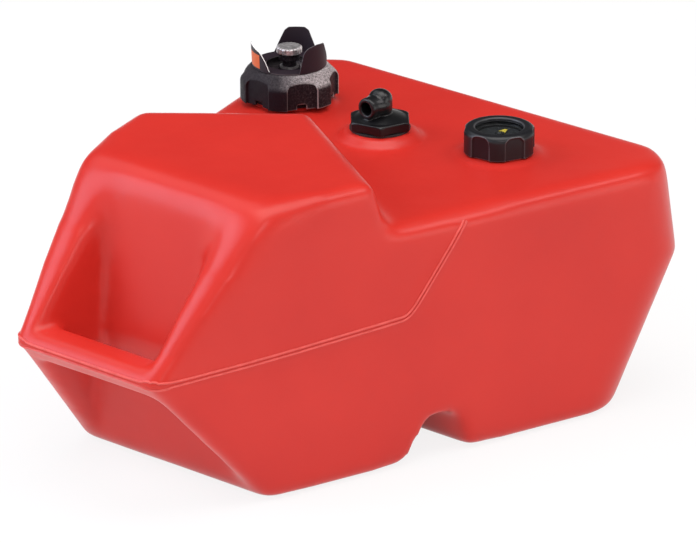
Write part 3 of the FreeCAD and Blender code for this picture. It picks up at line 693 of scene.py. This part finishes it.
def objectNoise(tree, scale, detail=2.0, rough=0.5):
    noise = addNode(tree, "ShaderNodeTexNoise", Scale=scale, Detail=detail, Roughness=rough)
    tree.links.new(objectPlace(tree), noise.inputs["Vector"])
    return noise.outputs["Fac"]


def ramp(tree, source, low, high, start, end):  # maps low..high of the source to two colours
    node = tree.nodes.new("ShaderNodeValToRGB")
    for element, position, colour in zip(node.color_ramp.elements, (low, high), (start, end)):
        element.position = position
        element.color = (*colour, 1)
    tree.links.new(source, node.inputs["Fac"])
    return node.outputs["Color"]


def bump(tree, source, distance, under=None):
    node = addNode(tree, "ShaderNodeBump", Distance=distance, Strength=1.0)
    tree.links.new(source, node.inputs["Height"])
    if under:
        tree.links.new(under, node.inputs["Normal"])
    return node.outputs["Normal"]


def shadeWith(tree, shader, noise, shade, colour):
    mottled = ramp(tree, objectNoise(tree, *noise), *shadeEdges, shade, colour)
    tree.links.new(mottled, shader.inputs["Base Color"])


def roughenWith(tree, shader, noise, edges):
    roughness = mapRange(tree, objectNoise(tree, *noise), noiseMiddle, edges)
    tree.links.new(roughness, shader.inputs["Roughness"])


def grainWith(tree, shader, noise, height):
    tree.links.new(bump(tree, objectNoise(tree, *noise), height), shader.inputs["Normal"])


red = {
    "colour": (0.59, 0.027, 0.018),
    "shade": (0.55, 0.023, 0.016),
    "shadeNoise": (9.0, 3.0),
    "roughness": (0.285, 0.345),
    "sheenNoise": (60.0, 4.0),
    "specular": 0.31,
    "waveNoise": (22.0, 1.0),
    "waveHeight": 0.0006,
    "peelNoise": (420.0, 2.0),
    "peelHeight": 0.00003,
}


def redPolyethylene():
    material, tree, shader = newPlastic("redPolyethylene", red["specular"])
    shadeWith(tree, shader, red["shadeNoise"], red["shade"], red["colour"])
    roughenWith(tree, shader, red["sheenNoise"], red["roughness"])
    wave = bump(tree, objectNoise(tree, *red["waveNoise"]), red["waveHeight"])
    peel = bump(tree, objectNoise(tree, *red["peelNoise"]), red["peelHeight"], under=wave)
    tree.links.new(peel, shader.inputs["Normal"])
    return material


capBlack = {
    "colour": (0.009, 0.006, 0.009),
    # dust speckle, which on the cap shell also grows towards the painted light side
    "dustAndPaintedLight": (0.065, 0.056, 0.059),
    "dustEdges": (0.46, 0.74),
    "cleanEdges": (0.52, 0.72),          # the same for the black pieces without wear or painted light
    "paleFilmAndHighlight": (0.62, 0.55, 0.555),         # pale film on what faces up: partly dust, partly painted highlight
    "paleFilmAndHighlightEdges": (0.15, 0.80),
    "patchEdges": (0.38, 0.66),
    "patchLeast": (0.25, 0.25, 0.25),
    "wearAndHighlight": (0.46, 0.42, 0.42),          # on the corners, paler: partly wear, partly painted highlight
    "wearAndHighlightEdges": (0.510, 0.56),
    "roughness": (0.42, 0.60),
    "sheenNoise": (240.0, 3.0),
    "speckleNoise": (700.0, 4.0, 0.7),
    "grainNoise": (1100.0, 3.0, 0.6),
    "grainHeight": 0.00025,
    "specular": 0.12,
    "paintedLightTo": (0.66, -0.75, 0),         # towards this side of the cap, painted light makes it paler
    "paintedLightEdges": (0.34, 0.86),
    "paintedShadeLeast": (0.06, 0.06, 0.06),
}


def paleCornersWearAndHighlight(tree, source, settings, share=None):  # paler where it is convex: wear and painted highlight; for closed meshes only
    shape = tree.nodes.new("ShaderNodeNewGeometry")
    wearAndPaintedLight = ramp(tree, shape.outputs["Pointiness"], *settings["wearAndHighlightEdges"], black, white)
    if share:
        wearAndPaintedLight = calculate(tree, "MULTIPLY", wearAndPaintedLight, share)
    return mixColours(tree, wearAndPaintedLight, source, (*settings["wearAndHighlight"], 1))


def paintedLightShare(tree, settings):  # grows across the cap, from its painted shade side to its painted light side
    towards = Vector(settings["paintedLightTo"]).normalized()
    middle = towards.dot(Vector((cap["x"], cap["y"], 0)))
    across = measure(tree, "DOT_PRODUCT", objectPlace(tree), towards)
    share = mapRange(tree, across, (middle - cap["radius"], middle + cap["radius"]), (0, 1), "SMOOTHSTEP")
    return ramp(tree, share, *settings["paintedLightEdges"], settings["paintedShadeLeast"], white)


def dustAndHighlightUpwards(tree, source, speckle, paintedLight, settings):  # a pale film where the surface faces up: dust and painted highlight, mostly on the painted light side
    shape = tree.nodes.new("ShaderNodeNewGeometry")
    level = splitAxes(tree, shape.outputs["Normal"])["Z"]
    upwards = ramp(tree, level, *settings["paleFilmAndHighlightEdges"], black, white)
    patchy = ramp(tree, speckle, *settings["patchEdges"], settings["patchLeast"], white)
    share = calculate(tree, "MULTIPLY", calculate(tree, "MULTIPLY", upwards, patchy), paintedLight)
    return mixColours(tree, share, source, (*settings["paleFilmAndHighlight"], 1))


def texturedBlack(name, wearAndPaintedLight):
    material, tree, shader = newPlastic(name, capBlack["specular"])
    speckle = objectNoise(tree, *capBlack["speckleNoise"])
    if wearAndPaintedLight:
        # painted light and shade: paler towards one side of the cap, darker towards the other
        paintedLight = paintedLightShare(tree, capBlack)
        dustWithPaintedLight = ramp(tree, speckle, *capBlack["dustEdges"], black, white)
        dustWithPaintedLight = calculate(tree, "MULTIPLY", dustWithPaintedLight, paintedLight)
        colour = ramp(tree, dustWithPaintedLight, 0.0, 1.0, capBlack["colour"], capBlack["dustAndPaintedLight"])
        colour = paleCornersWearAndHighlight(tree, dustAndHighlightUpwards(tree, colour, speckle, paintedLight, capBlack), capBlack, paintedLight)
    else:
        colour = ramp(tree, speckle, *capBlack["cleanEdges"], capBlack["colour"], capBlack["dustAndPaintedLight"])
    tree.links.new(colour, shader.inputs["Base Color"])
    roughenWith(tree, shader, capBlack["sheenNoise"], capBlack["roughness"])
    grainWith(tree, shader, capBlack["grainNoise"], capBlack["grainHeight"])
    return material


# the two smoother blacks, whose pale corners are partly painted highlight
elbowBlack = {
    "colour": (0.006, 0.006, 0.007),
    "shade": (0.004, 0.004, 0.005),
    "wearAndHighlight": (0.05, 0.05, 0.05),
    "wearAndHighlightEdges": (0.57, 0.68),
    "specular": 0.40,
    "roughness": (0.28, 0.31),
    "grainHeight": 0.000008,
}
gaugeBlack = {
    "colour": (0.009, 0.009, 0.011),
    "shade": (0.007, 0.007, 0.009),
    "wearAndHighlight": (0.17, 0.17, 0.18),
    "wearAndHighlightEdges": (0.512, 0.56),
    "specular": 0.36,
    "roughness": (0.285, 0.36),
    "grainHeight": 0.00004,
}
blackNoise = {"shade": (60.0, 3.0), "sheen": (90.0, 3.0), "grain": (260.0, 2.0)}


def smoothBlack(name, settings):
    material, tree, shader = newPlastic(name, settings["specular"])
    mottled = objectNoise(tree, *blackNoise["shade"])
    colour = ramp(tree, mottled, *shadeEdges, settings["shade"], settings["colour"])
    tree.links.new(paleCornersWearAndHighlight(tree, colour, settings), shader.inputs["Base Color"])
    roughenWith(tree, shader, blackNoise["sheen"], settings["roughness"])
    grainWith(tree, shader, blackNoise["grain"], settings["grainHeight"])
    return material


grain = {"shadeCoarser": 4, "shadeDetail": 3.0, "sheenDetail": 3.0, "heightDetail": 4.0}


def grainy(name, colour, shade, roughness, scale, height, metallic=0.0):
    material, tree, shader = newMaterial(name, {"Metallic": metallic})
    shadeWith(tree, shader, (scale / grain["shadeCoarser"], grain["shadeDetail"]), shade, colour)
    roughenWith(tree, shader, (scale, grain["sheenDetail"]), roughness)
    grainWith(tree, shader, (scale, grain["heightDetail"]), height)
    return material


pointer = {
    "colour": (1.0, 0.74, 0.08),
    "hubPaintedShade": (0.02, 0.02, 0.02),
    "hub": 0.0046,               # it is black up to this radius, partly as painted shade under the collar's lip
    "hubBlend": 0.01,            # as a share of the marks' radius
    "roughness": 0.5,
    "grainNoise": (400.0,),
    "grainHeight": 0.00002,
}


def yellowPointer():
    material, tree, shader = newMaterial("yellowPointer", {"Roughness": pointer["roughness"]})
    distance = measure(tree, "DISTANCE", objectPlace(tree), (gauge["x"], gauge["y"], gauge["pointerLevel"]))
    share = calculate(tree, "DIVIDE", distance, gauge["markOuter"])
    edge = pointer["hub"] / gauge["markOuter"]
    colour = ramp(tree, share, edge, edge + pointer["hubBlend"], pointer["hubPaintedShade"], pointer["colour"])
    tree.links.new(colour, shader.inputs["Base Color"])
    grainWith(tree, shader, pointer["grainNoise"], pointer["grainHeight"])
    return material


cardPrint = {
    "ink": (0.016, 0.008, 0.014),
    "patch": (0.60, 0.105, 0.018),
    "patchEdges": (("Y", "GREATER_THAN", 0.1335), ("X", "LESS_THAN", 0.1075),
                   ("Z", "GREATER_THAN", 0.2465), ("Z", "LESS_THAN", 0.2588)),
    "darkCutEdge": (0.085, 0.075, 0.080),  # most of the cut edge is dark
    "cleanEdge": (0.84, 0.82, 0.81),
    "cleanEdges": (("X", "LESS_THAN", 0.1035), ("Z", "GREATER_THAN", 0.2460)),
    "faceRoughness": 0.5,
    "edgeRoughness": 0.7,
    "specular": 0.3,
    "grainNoise": (500.0,),
    "grainHeight": 0.00004,
}


def insideEdges(tree, edges):  # 1 where the place passes every test
    axes = splitAxes(tree, objectPlace(tree))
    inside = 1.0
    for axis, operation, limit in edges:
        inside = calculate(tree, "MULTIPLY", inside, calculate(tree, operation, axes[axis], limit))
    return inside


def twoInks(name, colour, other, edges, roughness):
    material, tree, shader = newMaterial(name, {"Roughness": roughness,
                                                "Specular IOR Level": cardPrint["specular"]})
    ink = mixColours(tree, insideEdges(tree, edges), (*colour, 1), (*other, 1))
    tree.links.new(ink, shader.inputs["Base Color"])
    grainWith(tree, shader, cardPrint["grainNoise"], cardPrint["grainHeight"])
    return material


lensLook = {
    "reflected": (0.9, 0.93, 0.95),
    "clear": (0.86, 0.88, 0.88),
    "index": 1.45,
    "roughness": (0.04, 0.10),
    "sheenNoise": (120.0,),
}


def clearLens():
    material, tree, shader = newMaterial("clearLens", {"Base Color": lensLook["reflected"], "Metallic": 1.0})
    clear = addNode(tree, "ShaderNodeBsdfTransparent", Color=(*lensLook["clear"], 1))
    weight = addNode(tree, "ShaderNodeFresnel", IOR=lensLook["index"])
    shape = tree.nodes.new("ShaderNodeNewGeometry")
    outer = calculate(tree, "SUBTRACT", 1.0, shape.outputs["Backfacing"])  # only the outer face reflects
    mixSurfaces(tree, calculate(tree, "MULTIPLY", weight.outputs["Fac"], outer), clear, shader)
    roughenWith(tree, shader, lensLook["sheenNoise"], lensLook["roughness"])
    return material


finishes = {
    "red_polyethylene": redPolyethylene(),
    "black_polypropylene": texturedBlack("texturedBlack", wearAndPaintedLight=False),
    "nitrile_rubber": grainy("nitrileRubber", (0.022, 0.022, 0.022), (0.014, 0.014, 0.014),
                             roughness=(0.6, 0.75), scale=800, height=0.00005),
    "bright_metal": grainy("brightMetal", (0.78, 0.74, 0.74), (0.42, 0.39, 0.39),
                           roughness=(0.40, 0.55), scale=1300, height=0.0003, metallic=1.0),
    "printed_card": twoInks("printedCard", cardPrint["ink"], cardPrint["patch"], cardPrint["patchEdges"],
                            cardPrint["faceRoughness"]),
    "natural_nylon": grainy("naturalNylon", (0.84, 0.82, 0.75), (0.76, 0.73, 0.65),
                            roughness=(0.38, 0.5), scale=300, height=0.00003),
    "dial_plate": grainy("dialPlate", (0.030, 0.030, 0.034), (0.020, 0.020, 0.022),
                         roughness=(0.5, 0.6), scale=500, height=0.00002),
    "yellow_pointer": yellowPointer(),
    "clear_lens": clearLens(),
    "brass_rod": grainy("brassRod", (0.72, 0.56, 0.28), (0.58, 0.42, 0.18),
                        roughness=(0.29, 0.4), scale=500, height=0.00004, metallic=1.0),
    "aluminium_ribbon": grainy("aluminiumRibbon", (0.75, 0.76, 0.78), (0.62, 0.63, 0.65),
                               roughness=(0.3, 0.4), scale=500, height=0.00003, metallic=1.0),
    "float_foam": grainy("floatFoam", (0.80, 0.79, 0.74), (0.68, 0.66, 0.60),
                         roughness=(0.8, 0.95), scale=700, height=0.0003),
}
# the cap shell's black, with painted light, painted highlights and dust
capBlackPaintedLight = texturedBlack("capBlackPaintedLight", wearAndPaintedLight=True)
glossBlack = smoothBlack("glossBlack", elbowBlack)
collarBlack = smoothBlack("collarBlack", gaugeBlack)
# paler red of the parting ridges: trimmed flash, partly painted highlight
flashAndPaintedHighlight = grainy("flashAndPaintedHighlight", (0.72, 0.085, 0.070), (0.64, 0.060, 0.048),
                      roughness=(0.4, 0.5), scale=500, height=0.00003)
cardEdge = twoInks("cardEdge", cardPrint["darkCutEdge"], cardPrint["cleanEdge"], cardPrint["cleanEdges"],
                   cardPrint["edgeRoughness"])
markPaint = grainy("markPaint", (0.13, 0.13, 0.13), (0.09, 0.09, 0.09),
                   roughness=(0.5, 0.6), scale=900, height=0.00001)

slots = {row["node"]: row["material_slot"] for row in frame["record"]["subparts"]}
for node in nodes.values():
    node.data.materials.clear()
for name, node in nodes.items():
    node.data.materials.append(finishes[slots[name]])
for piece in (tankSkin, fillerNeck, gaugeNeck):
    piece.data.materials.append(finishes["red_polyethylene"])
partingRidges.data.materials.append(flashAndPaintedHighlight)
capShell.data.materials.append(capBlackPaintedLight)
capThread.data.materials.append(finishes["black_polypropylene"])
ventKnob.data.materials.append(finishes["bright_metal"])
cardTag.data.materials[0] = finishes["printed_card"]
cardTag.data.materials[1] = cardEdge
pickupElbow.data.materials.append(glossBlack)
gaugeCollar.data.materials.append(collarBlack)
dialMarks.data.materials.append(markPaint)
print("materials done")

# floor, light and camera
studio = {
    "floorSize": 30.0,
    "floorColour": (0.9, 0.9, 0.9),
    "floorRoughness": 0.9,
    "floorGlow": 0.85,                   # seen by the camera and in reflections only
    "worldTint": (1.0, 0.99, 0.98),
    "worldStrengths": (1.1, 0.34),       # at the horizon and above it
    "horizonEdges": (0.02, 0.30),
    "darkSide": (0.70, 0.63, 0.34),      # the far side stays dim, so the tops keep their depth
    "darkEdges": (0.45, 0.85),
    "darkShare": 0.85,
    "lampTarget": (0, 0, 0.12),
    "place": (-3.24935, -2.91279, 1.83404),
    "azimuth": -48.62,
    "elevation": 21.38,
    "roll": 0.12,
    "lens": 293.6,
    "sensorWidth": 36,
    "clipEnd": 60,
}
lamps = {
    "overhead": {"toward": (-0.05, -0.1, 1.0), "distance": 3.0, "size": 2.6, "power": 72,
                 "colour": (1, 0.98, 0.96)},
    "leftSoft": {"toward": (-0.62, 0.60, 0.48), "distance": 2.8, "size": 1.8, "power": 44,
                 "colour": (0.72, 0.80, 1)},
    "nearSoft": {"toward": (-0.46, -0.66, 0.60), "distance": 3.2, "size": 0.5, "power": 9,
                 "colour": (1, 0.92, 0.96)},
    "frontFill": {"toward": (0.30, -0.92, 0.22), "distance": 3.4, "size": 1.6, "power": 16,
                  "colour": (1, 0.97, 0.94)},
    "noseFill": {"toward": (-0.90, -0.10, 0.42), "distance": 3.0, "size": 1.6, "power": 8,
                 "colour": (0.8, 0.88, 1)},
    "rimSoft": {"toward": (0.39, -0.49, 0.78), "distance": 3.0, "size": 1.0, "power": 14,
                "colour": (1, 0.93, 0.94)},
    "farSoft": {"toward": (0.03, 0.62, 0.78), "distance": 3.0, "size": 1.6, "power": 9,
                "colour": (0.88, 0.94, 1)},
    "rightLow": {"toward": (0.93, 0.34, 0.14), "distance": 2.6, "size": 1.2, "power": 1.2,
                 "colour": (1, 0.97, 0.94)},
}


def makeFloor():
    bpy.ops.mesh.primitive_plane_add(size=studio["floorSize"])
    floor = named("studioFloor")
    paint, tree, shader = newMaterial("floorPaint", {"Base Color": studio["floorColour"],
                                                     "Roughness": studio["floorRoughness"],
                                                     "Specular IOR Level": 0.0})
    path = tree.nodes.new("ShaderNodeLightPath")
    seen = path.outputs["Is Camera Ray"]
    for ray in ("Is Glossy Ray", "Is Transmission Ray"):
        seen = calculate(tree, "MAXIMUM", seen, path.outputs[ray])
    share = calculate(tree, "MULTIPLY", seen, studio["floorGlow"])
    mixSurfaces(tree, share, shader, tree.nodes.new("ShaderNodeEmission"))
    floor.data.materials.append(paint)


def makeWorld():
    world = bpy.data.worlds.new("softStudio")
    scene.world = world
    world.use_nodes = True
    tree = world.node_tree
    direction = tree.nodes.new("ShaderNodeTexCoord").outputs["Generated"]
    height = splitAxes(tree, direction)["Z"]
    horizon = mapRange(tree, height, studio["horizonEdges"], studio["worldStrengths"], "SMOOTHSTEP")
    facing = measure(tree, "DOT_PRODUCT", direction, Vector(studio["darkSide"]).normalized())
    dim = mapRange(tree, facing, studio["darkEdges"], (1.0, 1.0 - studio["darkShare"]), "SMOOTHSTEP")
    background = tree.nodes["Background"]
    background.inputs["Color"].default_value = (*studio["worldTint"], 1)
    tree.links.new(calculate(tree, "MULTIPLY", horizon, dim), background.inputs["Strength"])


def makeLamps():
    for name, lamp in lamps.items():
        away = Vector(lamp["toward"]).normalized()
        location = away * lamp["distance"] + Vector(studio["lampTarget"])
        bpy.ops.object.light_add(type="AREA", location=location)
        light = bpy.context.active_object
        light.name = name
        light.data.energy = lamp["power"]
        light.data.size = lamp["size"]
        light.data.color = lamp["colour"]
        light.rotation_euler = (-away).to_track_quat("-Z", "Y").to_euler()


def makeCamera():
    azimuth, elevation = math.radians(studio["azimuth"]), math.radians(studio["elevation"])
    bpy.ops.object.camera_add(location=studio["place"])
    camera = bpy.context.active_object
    camera.rotation_euler = Euler((math.pi / 2 - elevation, 0, azimuth))
    camera.rotation_euler.rotate_axis("Z", math.radians(-studio["roll"]))
    camera.data.lens = studio["lens"]
    camera.data.sensor_width = studio["sensorWidth"]
    camera.data.clip_end = studio["clipEnd"]
    scene.camera = camera
    scene.view_settings.view_transform = "Standard"


makeFloor()
makeWorld()
makeLamps()
makeCamera()
print("studio done")
